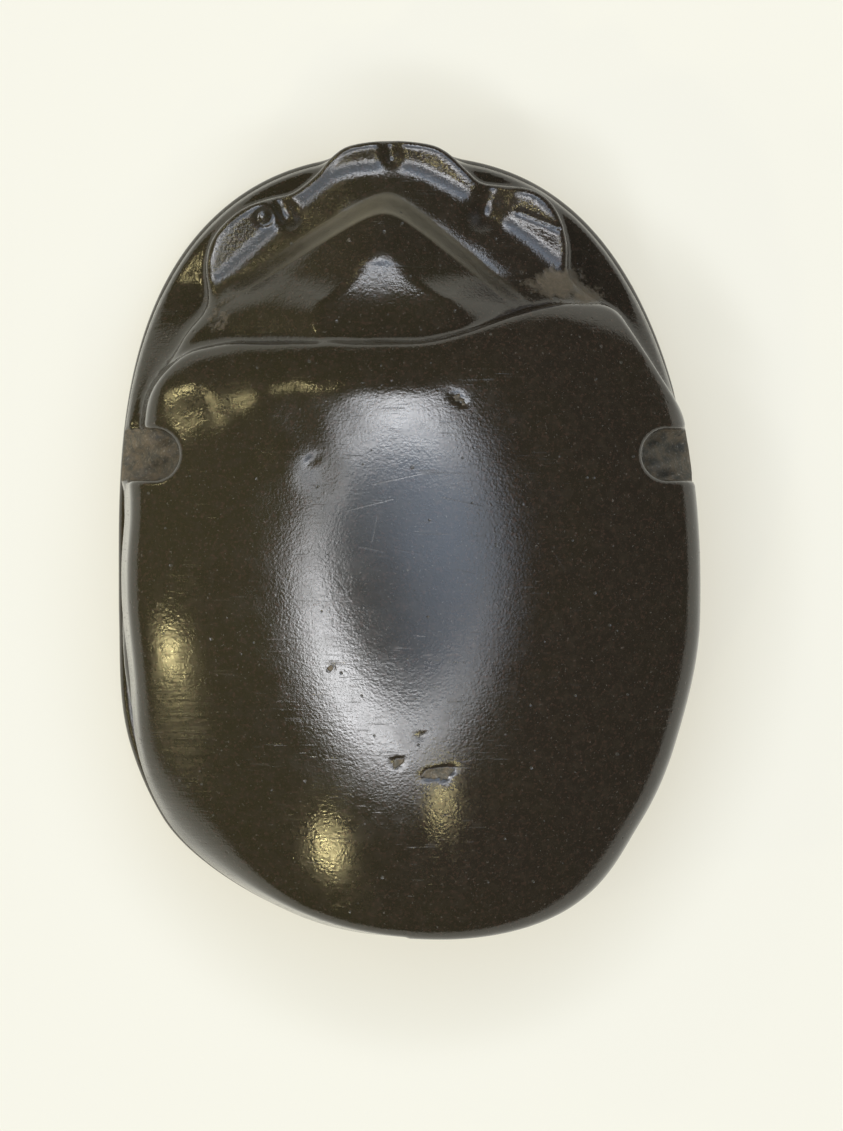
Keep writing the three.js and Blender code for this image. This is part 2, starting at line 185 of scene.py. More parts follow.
# Head
HEAD_OUTLINE = (
    (-0.84, 0.200), (-0.765, 0.254), (-0.686, 0.294), (-0.692, 0.344), (-0.661, 0.382), (-0.573, 0.413),
    (-0.470, 0.428), (-0.393, 0.435), (-0.313, 0.458), (-0.262, 0.479), (-0.197, 0.494), (-0.066, 0.500),
    (0.066, 0.496), (0.136, 0.485), (0.202, 0.463), (0.251, 0.448), (0.328, 0.444), (0.421, 0.439),
    (0.483, 0.425), (0.525, 0.400), (0.547, 0.368), (0.552, 0.332), (0.612, 0.308), (0.721, 0.276),
    (0.83, 0.215),
)
HEAD_AXIS_X = across(-0.066)
HEAD_BACK_Y = along(0.205)
HEAD_RIM_HEIGHT = up(0.49)
GROOVE_FRONT_SLOPE = 0.44
GROOVE_BACK_SLOPE = 0.5
GROOVE_ROUNDING = 0.34
GROOVE_RISE = 0.6
CROWN_X = across(-0.155)
CROWN_FALL = 0.021
NECK_FALL = 0.024
CREST_X = across(-0.08)
CREST_Y = along(0.407)
CREST_SLANTS = (0.64, 0.84)
CREST_ROUNDING = 0.6
RISER_WIDTH = 0.5
RISER_HEIGHT = up(0.085)
CROWN_HEIGHT = up(0.700)
CROWN_Y = along(0.342)
NECK_HEIGHT = up(0.682)
FOREHEAD_SLOPE = 0.64
NECK_SIDE_SLOPE = 0.8
NECK_RISE = 0.2
NECK_HOLLOW = 0.085
NECK_FOOT = 0.1
RIM_FALL = 0.012
GROOVE_TOP_ROUNDING = 0.2
RISER_REACH = 3.6
RISER_END = 0.02
FACE_RUN = (along(0.25), along(0.335))
CROWN_NECK_ROUNDING = 0.3
# The crown's edge is crisp in the middle and soft at the sides
CROWN_EDGE_ROUNDINGS = (0.12, 0.9)
CROWN_EDGE_RUN = (2.4, 4.6)
HEAD_EDGE_ROUNDING = 0.3
HEAD_JOIN = 0.3


def soft_max(a, b, radius):
    overlap = np.maximum(radius - np.abs(a - b), 0) / radius
    return np.maximum(a, b) + overlap * overlap * radius / 4


def soft_min(a, b, radius):
    return -soft_max(-a, -b, radius)


def ramp(value, low, high):
    share = np.clip((value - low) / (high - low), 0, 1)
    return share * share * (3 - 2 * share)


def mix(a, b, share):
    return a + (b - a) * share


def bell(distance, width):
    return np.exp(-((distance / width) ** 2))


def curve_through(points, steps):
    """Points along a smooth curve through the given ones, ends included."""
    given = np.array(points, float)
    last = len(given) - 1
    places = np.linspace(0, last, steps + 1)
    index = np.minimum(places.astype(int), last - 1)
    t = (places - index)[:, None]
    before, start, end, after = (given[np.clip(index + k, 0, last)] for k in (-1, 0, 1, 2))
    return 0.5 * (2 * start + (end - before) * t + (2 * before - 5 * start + 4 * end - after) * t ** 2
                  + (3 * start - before - 3 * end + after) * t ** 3)


def super_distance(radius, share):
    return radius * (1 - 1 / np.maximum(share, 1e-6))


def plan_distance(x, y):
    """Distance from the plan's edge, negative inside."""
    lean = (HEAD_LEAN * ramp(y, *HEAD_LEAN_RUN) + FLANK_LEAN * ramp(-y, *FLANK_LEAN_RUN)
            + TAIL_LEAN * ramp(-y, *TAIL_LEAN_RUN))
    side = np.abs(x - lean)
    run = y - MIDDLE_Y
    power = np.where(run > 0, FRONT_POWER, TAIL_POWER)
    reach = np.where(run > 0, FRONT_REACH, TAIL_REACH)
    share = ((side / HALF_WIDTH) ** power + (np.abs(run) / reach) ** power) ** (1 / power)
    return super_distance(np.hypot(side, run), share)


def front_edge(x):
    return FRONT_EDGE_Y + FRONT_EDGE_STEP * ramp(x, 0, FRONT_EDGE_STEP_END)


def back_form(x, y, z):
    """The domed back with its front edge, shoulders, flat flank and lower edge."""
    off = x - DOME_X
    run = y - DOME_Y
    reach = np.where(run > 0, DOME_FRONT_REACH, DOME_TAIL_REACH)
    plan = ((np.abs(off) / DOME_HALF_WIDTH) ** DOME_PLAN_POWER
            + (np.abs(run) / reach) ** DOME_PLAN_POWER) ** (1 / DOME_PLAN_POWER)
    lift = np.maximum(z - BACK_EDGE_HEIGHT, 0)
    share = (plan ** DOME_POWER + (lift / (HEIGHT - BACK_EDGE_HEIGHT)) ** DOME_POWER) ** (1 / DOME_POWER)
    dome = super_distance(np.sqrt(off * off + run * run + lift * lift), share)
    waist = WAIST_INSET * bell(y - WAIST_Y, WAIST_LENGTH)
    wing = WING_INSET * bell(y - WING_Y, WING_LENGTH)
    left = (LEFT_INSET + waist + wing) * ramp(-x, *LEFT_INSET_RUN)
    left = left + LEFT_THORAX_INSET * ramp(y, *LEFT_THORAX_RUN)
    right = RIGHT_THORAX_INSET * ramp(y, *RIGHT_THORAX_RUN)
    lean = mix(LEFT_LEAN, RIGHT_LEAN, ramp(x, *LEAN_RUN))
    side = plan_distance(x, y) + lean * lift + np.where(x < 0, left, right)
    flat = FLAT_NORMAL[0] * x + FLAT_NORMAL[1] * y + FLAT_NORMAL[2] * z - FLAT_NORMAL @ FLAT_POINT
    edge = y - front_edge(x)
    form = soft_max(dome, edge - FRONT_OVERHANG, FRONT_ROUNDING)
    form = soft_max(soft_max(form, side, SIDE_ROUNDING), flat, FLAT_ROUNDING)
    shoulder = (x - RIGHT_CORNER[0]) * RIGHT_CORNER_NORMAL[0] + (y - RIGHT_CORNER[1]) * RIGHT_CORNER_NORMAL[1]
    left_corner = soft_max(edge, side, LEFT_CORNER_ROUNDING)
    right_corner = soft_max(edge, shoulder, RIGHT_CORNER_ROUNDING)
    form = soft_max(form, np.where(x < 0, left_corner, right_corner), CORNER_JOIN)
    foot = BACK_EDGE_HEIGHT - FOOT_DROP - THORAX_DROP * ramp(y, *THORAX_RUN)
    return soft_max(form, foot - z, FOOT_ROUNDING)


def wall_inset(y):
    return mix(LEG_RECESS, FORELEG_INSET, ramp(y, *FORELEG_RUN))


def lower_top(x, y):
    rim = mix(BACK_EDGE_HEIGHT + LEDGE_RISE, LEDGE_HEAD_HEIGHT, ramp(y, *LEDGE_RUN))
    return rim + LEDGE_SLOPE * np.minimum(-plan_distance(x, y), LEDGE_REACH)


def wall_reach(angle, inset):
    """Distance from the plan's middle to the wall, at an angle."""
    low, high = 0.0, LENGTH
    for _ in range(40):
        middle = (low + high) / 2
        x, y = math.cos(angle) * middle, MIDDLE_Y + math.sin(angle) * middle
        if plan_distance(np.float64(x), np.float64(y)) + inset > 0:
            high = middle
        else:
            low = middle
    return low


def leg_bars():
    """Each leg of both sides as rows of x, y, z and radius."""
    bars = []
    for points in LEGS:
        for mirrored in (False, True):
            row = []
            for degrees, share in points:
                angle = math.radians(180 - degrees if mirrored else degrees)
                reach = wall_reach(angle, LEG_RECESS) - LEG_WIDTH / 2 + LEG_RELIEF
                row.append((math.cos(angle) * reach, MIDDLE_Y + math.sin(angle) * reach, up(share)))
            path = curve_through(row, 6 * (len(row) - 1))
            radius = LEG_WIDTH / 2 * np.linspace(1, LEG_TAPER, len(path))
            bars.append(np.column_stack((path, radius)))
    return bars


LEG_BARS = leg_bars()


def leg_form(x, y, z):
    point = np.column_stack((x, y, z))
    form = np.full(len(x), FAR)
    for bar in LEG_BARS:
        near = FAR
        for start, end in zip(bar[:-1], bar[1:]):
            run = end[:3] - start[:3]
            t = np.clip((point - start[:3]) @ run / (run @ run), 0, 1)
            gap = np.linalg.norm(point - start[:3] - t[:, None] * run, axis=1)
            near = np.minimum(near, gap - mix(start[3], end[3], t))
        form = np.minimum(form, near)
    return form


def lower_form(x, y, z):
    """Base plate, groove line, the wall behind the legs and the smooth forelegs round the head."""
    plan = plan_distance(x, y)
    plate_inset = PLATE_INSET * ramp(x, *PLATE_INSET_SIDES) * (1 - ramp(y, *PLATE_INSET_END))
    plate = soft_max(plan + plate_inset, z - BASE_THICKNESS + GROOVE_HEIGHT / 2, BASE_ROUNDING)
    inset = wall_inset(y)
    top = z - lower_top(x, y)
    wall = soft_max(plan + inset, top, WALL_ROUNDING)
    wall = soft_max(wall, BASE_THICKNESS + GROOVE_HEIGHT / 2 - z, WALL_FOOT_ROUNDING)
    core = np.maximum(plan + np.maximum(inset, GROOVE_DEPTH), top)
    return soft_min(np.minimum(plate, wall), core, STOREY_JOIN)


def outline_loop():
    curve = curve_through([(across(a), along(b)) for a, b in HEAD_OUTLINE], 96)
    ends = np.array(((across(-0.9), along(-0.1)), (across(0.9), along(-0.1))))
    return np.vstack((ends[:1], curve, ends[1:]))


OUTLINE = outline_loop()


def head_depth(x, y):
    """How far a point lies inside the head's outline, negative outside."""
    nearest = np.full(len(x), FAR)
    inside = np.zeros(len(x), bool)
    for a, b in zip(OUTLINE, np.roll(OUTLINE, -1, axis=0)):
        run = b - a
        off_x, off_y = x - a[0], y - a[1]
        t = np.clip((off_x * run[0] + off_y * run[1]) / (run @ run), 0, 1)
        nearest = np.minimum(nearest, (off_x - run[0] * t) ** 2 + (off_y - run[1] * t) ** 2)
        if a[1] != b[1]:
            inside ^= ((a[1] > y) != (b[1] > y)) & (x < a[0] + run[0] * (y - a[1]) / run[1])
    return np.where(inside, 1, -1) * np.sqrt(nearest)


def line_gap(x, y, start, end):
    """Distance in plan from a straight stroke, and how far along it, 0 to 1."""
    run = np.subtract(end, start)
    t = np.clip(((x - start[0]) * run[0] + (y - start[1]) * run[1]) / (run @ run), 0, 1)
    return np.hypot(x - start[0] - run[0] * t, y - start[1] - run[1] * t), t


# Cuts across the head's rim, from inside to the edge: ends, width and depth
HEAD_CUTS = (
    ((-3.75, 10.10), (-4.30, 11.00), 0.30, 0.34),
    ((2.42, 10.15), (2.88, 11.45), 0.44, 0.36),
    ((-0.50, 11.98), (-0.62, 12.65), 0.25, 0.28),
    ((3.49, 10.28), (4.73, 9.77), 0.09, 0.10),
)
# The groove that arches over the face, from left to right, as shares across and along
ARCH = (
    (-0.896, 0.224), (-0.721, 0.292), (-0.617, 0.334), (-0.459, 0.389), (-0.298, 0.443), (-0.208, 0.461),
    (-0.098, 0.466), (0.011, 0.464), (0.120, 0.446), (0.230, 0.422), (0.328, 0.399), (0.481, 0.354),
    (0.612, 0.312), (0.874, 0.216),
)
EYE = (-4.50, 10.10)
EYE_RADIUS = 0.22
EYE_LINE_WIDTH = 0.08
EYE_LINE_DEPTH = 0.08


def crest_gap(x, y):
    """How far a point lies behind the chevron that runs across the head."""
    off = np.hypot(x - CREST_X, CREST_ROUNDING) - CREST_ROUNDING
    slant = mix(*CREST_SLANTS, ramp(x - CREST_X, -CREST_ROUNDING, CREST_ROUNDING))
    return (CREST_Y - slant * off - y) / np.hypot(1, slant)


ARCH_X, ARCH_Y = curve_through([(across(a), along(b)) for a, b in ARCH], 90).T
ARCH_SLOPE = np.gradient(ARCH_Y, ARCH_X)


def arch_gap(x, y):
    """How far a point lies behind the groove that arches over the face."""
    return (np.interp(x, ARCH_X, ARCH_Y) - y) / np.hypot(1, np.interp(x, ARCH_X, ARCH_SLOPE))


def head_height(x, y, depth):
    """Rim, groove, a riser up to the chevron and a slope up to the crown; behind it the neck rises gently."""
    off = x - HEAD_AXIS_X
    gap = arch_gap(x, y)
    inner = soft_min(GROOVE_BACK_SLOPE * gap, GROOVE_RISE + 0 * x, GROOVE_TOP_ROUNDING)
    groove = soft_max(-GROOVE_FRONT_SLOPE * gap, inner, GROOVE_ROUNDING)
    behind = crest_gap(x, y)
    riser = RISER_HEIGHT * bell(x - CREST_X, RISER_REACH) * ramp(behind, -RISER_WIDTH, RISER_END)
    forehead = FOREHEAD_SLOPE * np.maximum(behind, 0)
    face = HEAD_RIM_HEIGHT - RIM_FALL * off * off + groove + riser + forehead
    for start, end, width, cut in HEAD_CUTS:
        stroke, _ = line_gap(x, y, start, end)
        face = face - cut * bell(stroke, width)
    eye_gap = np.hypot(x - EYE[0], y - EYE[1]) - EYE_RADIUS
    face = face - EYE_LINE_DEPTH * bell(eye_gap, EYE_LINE_WIDTH)
    side = HEAD_RIM_HEIGHT + NECK_FOOT + NECK_SIDE_SLOPE * depth
    face = mix(side, face, ramp(y, *FACE_RUN))
    beside = x - CROWN_X
    top = CROWN_HEIGHT - CROWN_FALL * beside ** 2
    neck = NECK_HEIGHT - NECK_FALL * beside ** 2
    crown = soft_max(top, neck, CROWN_NECK_ROUNDING)
    back = np.maximum(CROWN_Y - y, 0)
    crown = crown + NECK_RISE * back + NECK_HOLLOW * back * back
    radius = mix(*CROWN_EDGE_ROUNDINGS, ramp(np.abs(beside), *CROWN_EDGE_RUN))
    return soft_min(face, crown, radius)


def head_form(x, y, z):
    depth = head_depth(x, y)
    form = soft_max(z - head_height(x, y, depth), -depth, HEAD_EDGE_ROUNDING)
    return np.where(y > HEAD_BACK_Y, form, FAR)


# Pits in the polish, in plan: place, half length, half width, turn in degrees and depth
PITS = (
    ((0.92, -7.23), 0.40, 0.15, 10, 0.13),
    ((1.15, -7.33), 0.16, 0.13, 60, 0.08),
    ((-0.32, -6.92), 0.14, 0.11, 20, 0.09),
    ((1.48, 4.42), 0.20, 0.09, -40, 0.08),
    ((1.72, 4.22), 0.10, 0.08, 0, 0.06),
    ((0.41, -6.09), 0.10, 0.08, 0, 0.05),
    ((-2.41, -3.93), 0.11, 0.08, 0, 0.05),
    ((-2.95, 2.47), 0.20, 0.10, 30, 0.04),
    ((2.3, 5.0), 0.08, 0.07, 0, 0.04),
    ((-1.85, 9.35), 0.09, 0.08, 0, 0.04),
)


def pit_depth(x, y):
    depth = 0 * x
    for (place_x, place_y), length, width, degrees, deep in PITS:
        turn = math.radians(degrees)
        off_x, off_y = x - place_x, y - place_y
        u = (off_x * math.cos(turn) + off_y * math.sin(turn)) / length
        v = (off_y * math.cos(turn) - off_x * math.sin(turn)) / width
        round_way = np.arctan2(v, u)
        size = 1 + 0.16 * np.sin(2 * round_way + place_x) + 0.14 * np.sin(3 * round_way + 5 * place_y)
        depth = depth + deep * np.exp(-(((u * u + v * v) / size ** 2) ** 2))
    return depth


# Waves left by hand polishing on the thorax's left front: across and along, in turns per millimetre
WAVES = ((0.42, 0.11, 0.3), (0.17, -0.46, 1.9), (-0.33, 0.36, 4.0), (0.61, 0.27, 2.2))
WAVE_HEIGHT = 0.010
WAVES_ACROSS = (0.5, 3.0)
WAVES_ALONG = (0.5, 2.5)


def hand_waviness(x, y):
    patch = ramp(-x, *WAVES_ACROSS) * ramp(y, *WAVES_ALONG)
    waves = sum(np.sin(2 * math.pi * (a * x + b * y) + start) for a, b, start in WAVES)
    return WAVE_HEIGHT * patch * waves


def solid_form(x, y, z):
    """The whole amulet: negative inside, zero on its surface."""
    form = back_form(x, y, z) + (pit_depth(x, y) + hand_waviness(x, y)) * (z > BACK_EDGE_HEIGHT)
    form = soft_min(form, lower_form(x, y, z), STOREY_JOIN)
    low = (z < BACK_EDGE_HEIGHT + 1) & (y < along(0.2))
    form[low] = soft_min(form[low], leg_form(x[low], y[low], z[low]), LEG_JOIN)
    for place_x, place_y in NOTCHES:
        outward = np.maximum((place_x - x) * np.sign(place_x), 0)
        wall = np.hypot(outward, y - place_y) - NOTCH_RADIUS
        floor = NOTCH_FLOOR_HEIGHT + NOTCH_SLOPE * (HALF_WIDTH - np.abs(x))
        for height, turn_x, turn_y, shift in NOTCH_WAVES:
            floor = floor + height * np.sin(turn_x * x + turn_y * y + shift * place_x)
        cut = soft_max(wall, (floor - z) * NOTCH_FLOOR_WEIGHT, NOTCH_FLOOR_ROUNDING)
        form = soft_max(form, -cut, NOTCH_RIM_ROUNDING)
    head = y > HEAD_BACK_Y
    form[head] = soft_min(form[head], head_form(x[head], y[head], z[head]), HEAD_JOIN)
    return soft_max(form, -z, BASE_ROUNDING * 0.8)


def settle(points, rounds, step=0.01, farthest=0.15):
    """Moves points onto the form's surface. Returns them with the surface's outward directions."""
    for _ in range(rounds):
        x, y, z = points.T
        here = solid_form(x, y, z)
        slope = np.column_stack((
            solid_form(x + step, y, z) - here,
            solid_form(x, y + step, z) - here,
            solid_form(x, y, z + step) - here,
        )) / step
        steep = np.maximum(np.einsum("ij,ij->i", slope, slope), 0.04)
        move = -slope * (here / steep)[:, None]
        size = np.linalg.norm(move, axis=1)
        points = points + move * np.minimum(1, farthest / np.maximum(size, 1e-9))[:, None]
    outward = slope / np.maximum(np.linalg.norm(slope, axis=1), 1e-9)[:, None]
    return points, outward


class ScarabCarving(bpy.types.PropertyGroup):
    voxel: bpy.props.FloatProperty(
        name="Facet size", description="Size of the fine surface's facets, in millimetres",
        default=0.145, min=0.05, max=0.5)
    rounds: bpy.props.IntProperty(
        name="Fitting rounds", description="How often the surface is moved onto the form", default=4, min=1)


class ScarabStone(bpy.types.PropertyGroup):
    dark: bpy.props.FloatVectorProperty(
        name="Stone", description="Main colour of the stone", subtype="COLOR",
        size=4, min=0, max=1, default=(0.0195, 0.0150, 0.0098, 1))
    # Olive side colour: partly the stone's own tone, partly painted warm light falling on the left side
    olive_and_painted_light: bpy.props.FloatVectorProperty(
        name="Olive side", description="Colour of the stone on its left side", subtype="COLOR",
        size=4, min=0, max=1, default=(0.0235, 0.0195, 0.0092, 1))
    soil: bpy.props.FloatVectorProperty(
        name="Soil", description="Colour of the soil left in the hollows", subtype="COLOR",
        size=4, min=0, max=1, default=(0.085, 0.066, 0.037, 1))
    roughness: bpy.props.FloatProperty(
        name="Polish roughness", description="Roughness where the polish is best",
        subtype="FACTOR", default=0.08, min=0, max=1)
    refraction: bpy.props.FloatProperty(
        name="Refraction", description="Index of refraction of the polished stone",
        default=1.56, min=1, max=3)


class ScarabStage(bpy.types.PropertyGroup):
    distance: bpy.props.FloatProperty(
        name="Camera height", description="Camera's height over the underside",
        subtype="DISTANCE", unit="LENGTH", default=0.42)
    floor_color: bpy.props.FloatVectorProperty(
        name="Floor", description="Colour of the pale floor", subtype="COLOR",
        size=4, min=0, max=1, default=(0.305, 0.325, 0.325, 1))
    glow_color: bpy.props.FloatVectorProperty(
        name="Glow colour", description="Colour of the light that comes through the floor", subtype="COLOR",
        size=4, min=0, max=1, default=(1.0, 0.905, 0.68, 1))
    glow: bpy.props.FloatProperty(
        name="Glow", description="Strength of the light that comes through the floor", default=0.53, min=0)


# The photograph's frame in pixels, its scale, and the pixel over the amulet's origin
PHOTO_WIDTH, PHOTO_HEIGHT = 843, 1131
PIXELS_PER_MM = 31.52
ORIGIN_PIXEL = (408.0, 540.0)
CAMERA_SENSOR = 36.0


def link_object(name, data):
    made = bpy.data.objects.new(name, data)
    bpy.context.collection.objects.link(made)
    return made


def shape_mesh(name, node, voxel):
    """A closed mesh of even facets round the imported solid, in millimetres."""
    bm = bmesh.new()
    bm.from_mesh(node.data)
    bmesh.ops.remove_doubles(bm, verts=bm.verts, dist=1e-3 * MM)
    bmesh.ops.scale(bm, vec=(1 / MM,) * 3, verts=bm.verts)
    mesh = bpy.data.meshes.new(name)
    bm.to_mesh(mesh)
    bm.free()
    rough = link_object(name, mesh)
    remesh = rough.modifiers.new("Even facets", "REMESH")
    remesh.mode = "VOXEL"
    remesh.voxel_size = voxel
    graph = bpy.context.evaluated_depsgraph_get()
    fine = bpy.data.meshes.new_from_object(rough.evaluated_get(graph))
    bpy.data.objects.remove(rough)
    bpy.data.meshes.remove(mesh)
    return fine


def read_points(mesh):
    flat = np.empty(len(mesh.vertices) * 3)
    mesh.vertices.foreach_get("co", flat)
    return flat.reshape(-1, 3)


def write_points(mesh, points):
    mesh.vertices.foreach_set("co", points.ravel())
    mesh.update()


def refine(mesh):
    """Halves the facets of the head, the edge behind it and the notches."""
    bm = bmesh.new()
    bm.from_mesh(mesh)
    fine = {vert for vert in bm.verts if is_fine(*vert.co)}
    edges = [edge for edge in bm.edges if fine.issuperset(edge.verts)]
    bmesh.ops.subdivide_edges(bm, edges=edges, cuts=1, use_grid_fill=True)
    bmesh.ops.triangulate(bm, faces=[face for face in bm.faces if len(face.verts) > 4])
    bm.to_mesh(mesh)
    bm.free()


def is_fine(x, y, z):
    head = y > FRONT_EDGE_Y - 0.6 and z > HEIGHT * 0.42
    notch = any(math.hypot(x - place_x, y - place_y) < NOTCH_RADIUS * 1.6 for place_x, place_y in NOTCHES)
    return head or (notch and z > NOTCH_FLOOR_HEIGHT - 0.5)


def ease(mesh):
    """Evens out the facets before they settle on the form again."""
    bm = bmesh.new()
    bm.from_mesh(mesh)
    bmesh.ops.smooth_vert(bm, verts=bm.verts, factor=0.5, use_axis_x=True, use_axis_y=True, use_axis_z=True)
    bm.to_mesh(mesh)
    bm.free()


def flatten_underside(mesh):
    """Joins the facets of the flat underside into one face with a sharp edge."""
    bm = bmesh.new()
    bm.from_mesh(mesh)
    for face in bm.faces:
        face.smooth = True
    level = 0.004
    for vert in bm.verts:
        if vert.co.z < level:
            vert.co.z = 0
    under = [face for face in bm.faces if all(vert.co.z == 0 for vert in face.verts)]
    bmesh.ops.dissolve_faces(bm, faces=under, use_verts=False)
    for face in bm.faces:
        if all(vert.co.z == 0 for vert in face.verts):
            face.smooth = False
            for edge in face.edges:
                edge.smooth = False
    bmesh.ops.scale(bm, vec=(MM,) * 3, verts=bm.verts)
    bm.to_mesh(mesh)
    bm.free()


# Soil: place in plan, reach across and along, and strength
SOIL_PATCHES = (
    ((4.7, 8.05), 0.95, 0.5, 1.0),
    ((5.6, 7.65), 0.5, 0.35, 0.9),
    ((-6.0, 7.1), 0.6, 0.8, 0.34),
)


# How far above the surface a hollow is felt
HOLLOW_REACH = 0.45
# Where the pale band lies on the chevron's riser, across its line: it sets in and it ends. The band is partly
# dust and partly a painted reflection off the riser's steep wall
DUST_AND_SHEEN_START = (-0.62, -0.42)
DUST_AND_SHEEN_END = (-0.06, 0.04)
DUST_AND_SHEEN_REACH = 2.9


def paint_soil(mesh, points, outward):
    """Writes how much soil lies on each point: in patches, and lightly in every hollow."""
    probe = points + outward * HOLLOW_REACH
    opening = solid_form(*probe.T) / HOLLOW_REACH
    hollow = np.clip(0.75 - opening, 0, 1)
    x, y, z = points.T
    soil = 0.25 * ramp(hollow, 0.1, 0.7)
    for (place_x, place_y), wide, long, strength in SOIL_PATCHES:
        patch = np.exp(-((x - place_x) / wide) ** 2 - ((y - place_y) / long) ** 2)
        soil = np.maximum(soil, strength * patch)
    soil[z < BACK_EDGE_HEIGHT * 0.6] *= 0.4
    # Pale band on the chevron's riser: partly dust, partly painted reflection off its steep wall
    gap = crest_gap(x, y)
    band = ramp(gap, *DUST_AND_SHEEN_START) * (1 - ramp(gap, *DUST_AND_SHEEN_END))
    dust_and_sheen = band * bell(x - CREST_X, DUST_AND_SHEEN_REACH) * (y > along(0.3))
    grit = ramp(pit_depth(x, y), 0.015, 0.05) * (z > BACK_EDGE_HEIGHT)
    for place_x, place_y in NOTCHES:
        outward_x = np.maximum((place_x - x) * np.sign(place_x), 0)
        inside = NOTCH_RADIUS - np.hypot(outward_x, y - place_y)
        grit = np.maximum(grit, ramp(inside, -0.08, 0.12) * (1 - ramp(z, 6.3, 7.0)) * ramp(z, 3.4, 4.0))
    head = ramp(y, along(0.27), along(0.33)) * (z > BACK_EDGE_HEIGHT)
    for name, values in (("soil", soil), ("dust_and_sheen", dust_and_sheen), ("grit", grit), ("head", head)):
        mesh.attributes.new(name, "FLOAT", "POINT").data.foreach_set("value", values)


# The scratches that show most, in plan: ends and half width
SCRATCHES = (
    ((-1.87, 0.89), (-0.51, 1.24), 0.030),
    ((-1.05, 1.71), (0.41, 2.03), 0.025),
    ((-1.43, -0.25), (-0.76, -0.38), 0.035),
    ((-0.32, -0.32), (0.32, -0.44), 0.035),
    ((1.59, -0.95), (2.06, -1.05), 0.025),
    ((4.60, -0.54), (4.82, -0.89), 0.030),
    ((-2.60, -2.10), (-1.75, -1.55), 0.022),
    ((-1.10, -0.05), (-0.95, 0.70), 0.022),
    ((1.10, 1.30), (2.30, 1.05), 0.020),
)


class Nodes:
    """Short ways to add and join nodes of one tree."""

    def __init__(self, tree):
        self.tree = tree
        tree.nodes.clear()

    def add(self, kind, inputs=None, **settings):
        node = self.tree.nodes.new(kind)
        for name, value in settings.items():
            setattr(node, name, value)
        for name, value in (inputs or {}).items():
            if hasattr(value, "is_output"):
                self.tree.links.new(value, node.inputs[name])
            else:
                node.inputs[name].default_value = value
        return node

    def math(self, operation, a, b=0.0, clamp=False):
        return self.add("ShaderNodeMath", {0: a, 1: b}, operation=operation, use_clamp=clamp).outputs[0]

    def span(self, value, low, high, to_low=0.0, to_high=1.0):
        inputs = {"Value": value, "From Min": low, "From Max": high, "To Min": to_low, "To Max": to_high}
        return self.add("ShaderNodeMapRange", inputs).outputs["Result"]

    def blend(self, factor, a, b):
        node = self.add("ShaderNodeMix", {0: factor, 6: a, 7: b}, data_type="RGBA")
        return node.outputs[2]

    def dot(self, a, b):
        return self.add("ShaderNodeVectorMath", {0: a, 1: b}, operation="DOT_PRODUCT").outputs["Value"]

    def mark(self, name):
        return self.add("ShaderNodeAttribute", attribute_name=name).outputs["Fac"]

    def stroke(self, place, start, end, width):
        """One inside a straight stroke seen from above, fading to zero at its edge."""
        run = np.subtract(end, start)
        size = np.hypot(*run)
        way = (run[0] / size, run[1] / size, 0)
        off = self.add("ShaderNodeVectorMath", {0: place, 1: (*start, 0)}, operation="SUBTRACT").outputs[0]
        along_it = self.dot(off, way)
        beside = self.dot(off, (-way[1], way[0], 0))
        from_middle = self.math("ABSOLUTE", self.math("SUBTRACT", along_it, size / 2))
        past = self.math("SUBTRACT", from_middle, size / 2)
        gap = self.math("MAXIMUM", self.math("MULTIPLY", past, 0.3), self.math("ABSOLUTE", beside))
        return self.span(gap, width * 0.3, width, 1.0, 0.0)

    def noise(self, vector, scale, detail=2.0, roughness=0.5):
        inputs = {"Vector": vector, "Scale": scale, "Detail": detail, "Roughness": roughness}
        return self.add("ShaderNodeTexNoise", inputs).outputs["Fac"]


# Colours inside the stone and of what lies on it, and the pale colour on the chevron's riser that is partly
# dust and partly a painted reflection
SPECK_COLOR = (0.052, 0.031, 0.021, 1)
PALE_SPECK_COLOR = (0.13, 0.115, 0.095, 1)
DUST_AND_SHEEN_COLOR = (0.125, 0.108, 0.070, 1)
PALE_SOIL_COLOR = (0.115, 0.085, 0.052, 1)
GRIT_COLOR = (0.052, 0.047, 0.033, 1)
BROWN_GRIT_COLOR = (0.125, 0.095, 0.058, 1)
PALE_GRIT_COLOR = (0.20, 0.18, 0.14, 1)
HOLE_COLOR = (0.035, 0.031, 0.022, 1)
# Directions of the fine scratches: turn, how rare they are and how narrow
SCRATCH_TURNS = ((0.2, 0.69, 13.0), (-0.45, 0.68, 14.0), (1.15, 0.68, 12.0))


